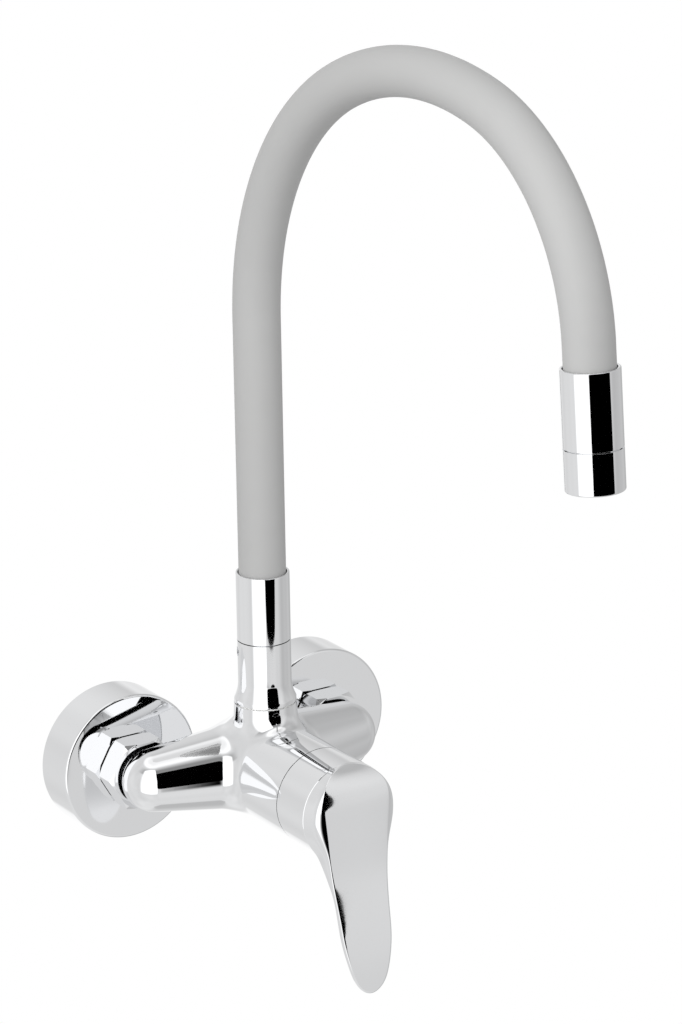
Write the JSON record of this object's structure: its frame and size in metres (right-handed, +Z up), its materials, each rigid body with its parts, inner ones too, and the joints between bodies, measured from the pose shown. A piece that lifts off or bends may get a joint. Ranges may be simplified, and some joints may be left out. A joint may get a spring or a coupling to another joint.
{
  "type": "flexible spout sink mixer",
  "caption": "Wall-mounted single-lever sink mixer in polished chrome with a tall bendable spout in a grey silicone sleeve and a chrome outlet",
  "frame": {"origin": "on the finished wall, midway between the centres of the hot and cold inlets", "axes": "+X across the wall to the right as seen from the room, +Y into the wall with the room on the -Y side, +Z up along the spout's riser"},
  "size_m": [0.1668, 0.3263, 0.4266],
  "materials": {
    "chrome_body": "polished chrome plate on cast brass",
    "chrome_trim": "polished chrome plate",
    "chrome_lever": "polished chrome plate on cast zinc",
    "silicone": "matte grey silicone",
    "hose_inner": "smooth white food-grade hose",
    "core_metal": "plain satin metal",
    "steel": "plain stainless steel",
    "brass_raw": "machined brass",
    "seal_rubber": "black sealing rubber",
    "bearing_plastic": "low-friction plastic",
    "cartridge_plastic": "moulded cartridge plastic",
    "ceramic": "ground ceramic",
    "aerator_plastic": "light grey moulded plastic"
  },
  "bodies": {
    "mixer_body": {"body_casting": "chrome_body", "wall_union_left": "brass_raw", "wall_union_right": "brass_raw", "wall_flange_left": "chrome_trim", "wall_flange_right": "chrome_trim", "union_nut_left": "chrome_trim", "union_nut_right": "chrome_trim", "inlet_washer_left": "seal_rubber", "inlet_washer_right": "seal_rubber", "inlet_tail_left": "brass_raw", "inlet_tail_right": "brass_raw", "base_gasket": "seal_rubber", "cartridge_base": "cartridge_plastic", "cartridge_housing": "cartridge_plastic", "fixed_disc": "ceramic", "cartridge_nut": "brass_raw", "cap_ring": "chrome_trim", "bearing_ring": "bearing_plastic", "spout_retaining_screw": "steel"},
    "lever_rotor": {"rotor": "cartridge_plastic", "pivot_pin": "steel"},
    "lever_arm": {"stem": "steel", "lever_handle": "chrome_lever", "lever_set_screw": "steel"},
    "disc_slide": {"disc_carrier": "cartridge_plastic", "moving_disc": "ceramic"},
    "spout_base": {"swivel_tail": "brass_raw", "tail_seal_lower": "seal_rubber", "tail_seal_upper": "seal_rubber", "base_sleeve": "chrome_trim", "sleeve_set_screw": "steel", "lower_ferrule": "chrome_trim", "core_link_1": "core_metal", "silicone_sleeve": "silicone", "water_hose": "hose_inner"},
    "spout_part_2": {"core_link_2": "core_metal"},
    "spout_part_3": {"core_link_3": "core_metal"},
    "spout_part_4": {"core_link_4": "core_metal"},
    "spout_part_5": {"core_link_5": "core_metal"},
    "spout_part_6": {"core_link_6": "core_metal"},
    "spout_part_7": {"core_link_7": "core_metal"},
    "spout_part_8": {"core_link_8": "core_metal"},
    "spout_outlet": {"core_link_9": "core_metal", "outlet_adapter": "brass_raw", "outlet_sleeve": "chrome_trim", "aerator_housing": "chrome_trim", "aerator_gasket": "seal_rubber", "aerator_insert": "aerator_plastic"}
  },
  "joints": [
    {"name": "lever_turn", "type": "hinge", "parent": "mixer_body", "child": "lever_rotor", "pos_m": [0, -0.095, 0], "axis": [0, 1, 0], "range_deg": [-45, 45]},
    {"name": "lever_lift", "type": "hinge", "parent": "lever_rotor", "child": "lever_arm", "pos_m": [0, -0.095, 0], "axis": [-1, 0, 0], "range_deg": [0, 25]},
    {"name": "disc_travel", "type": "slide", "parent": "lever_rotor", "child": "disc_slide", "axis": [0, 0, -1], "range_m": [0, 0.00257]},
    {"name": "spout_swivel", "type": "hinge", "parent": "mixer_body", "child": "spout_base", "pos_m": [0, -0.0543, 0], "axis": [0, 0, 1], "range_deg": [-85, 85]},
    {"name": "spout_bend_1", "type": "hinge", "parent": "spout_base", "child": "spout_part_2", "pos_m": [0, -0.0543, 0.114], "axis": [1, 0, 0], "range_deg": [-12, 12], "deforming": ["silicone_sleeve", "water_hose"]},
    {"name": "spout_sway_2", "type": "hinge", "parent": "spout_part_2", "child": "spout_part_3", "pos_m": [0, -0.0543, 0.17], "axis": [0, -1, 0], "range_deg": [-15, 15], "deforming": ["silicone_sleeve", "water_hose"]},
    {"name": "spout_bend_3", "type": "hinge", "parent": "spout_part_3", "child": "spout_part_4", "pos_m": [0, -0.05578, 0.22592], "axis": [1, 0, 0], "range_deg": [-12, 12], "deforming": ["silicone_sleeve", "water_hose"]},
    {"name": "spout_bend_4", "type": "hinge", "parent": "spout_part_4", "child": "spout_part_5", "pos_m": [0, -0.07593, 0.2777], "axis": [1, 0, 0], "range_deg": [-20, 10], "deforming": ["silicone_sleeve", "water_hose"]},
    {"name": "spout_sway_5", "type": "hinge", "parent": "spout_part_5", "child": "spout_part_6", "pos_m": [0, -0.11611, 0.31606], "axis": [0, -0.5171, -0.8559], "range_deg": [-15, 15], "deforming": ["silicone_sleeve", "water_hose"]},
    {"name": "spout_bend_6", "type": "hinge", "parent": "spout_part_6", "child": "spout_part_7", "pos_m": [0, -0.16847, 0.33497], "axis": [1, 0, 0], "range_deg": [-25, 8], "deforming": ["silicone_sleeve", "water_hose"]},
    {"name": "spout_bend_7", "type": "hinge", "parent": "spout_part_7", "child": "spout_part_8", "pos_m": [0, -0.22415, 0.3337], "axis": [1, 0, 0], "range_deg": [-25, 8], "deforming": ["silicone_sleeve", "water_hose"]},
    {"name": "spout_bend_8", "type": "hinge", "parent": "spout_part_8", "child": "spout_outlet", "pos_m": [0, -0.27242, 0.30711], "axis": [1, 0, 0], "range_deg": [-25, 8], "deforming": ["silicone_sleeve", "water_hose"]}
  ],
  "couplings": [
    {"joint": "disc_travel", "follows": "lever_lift", "m_per_rad": 0.00586}
  ]
}
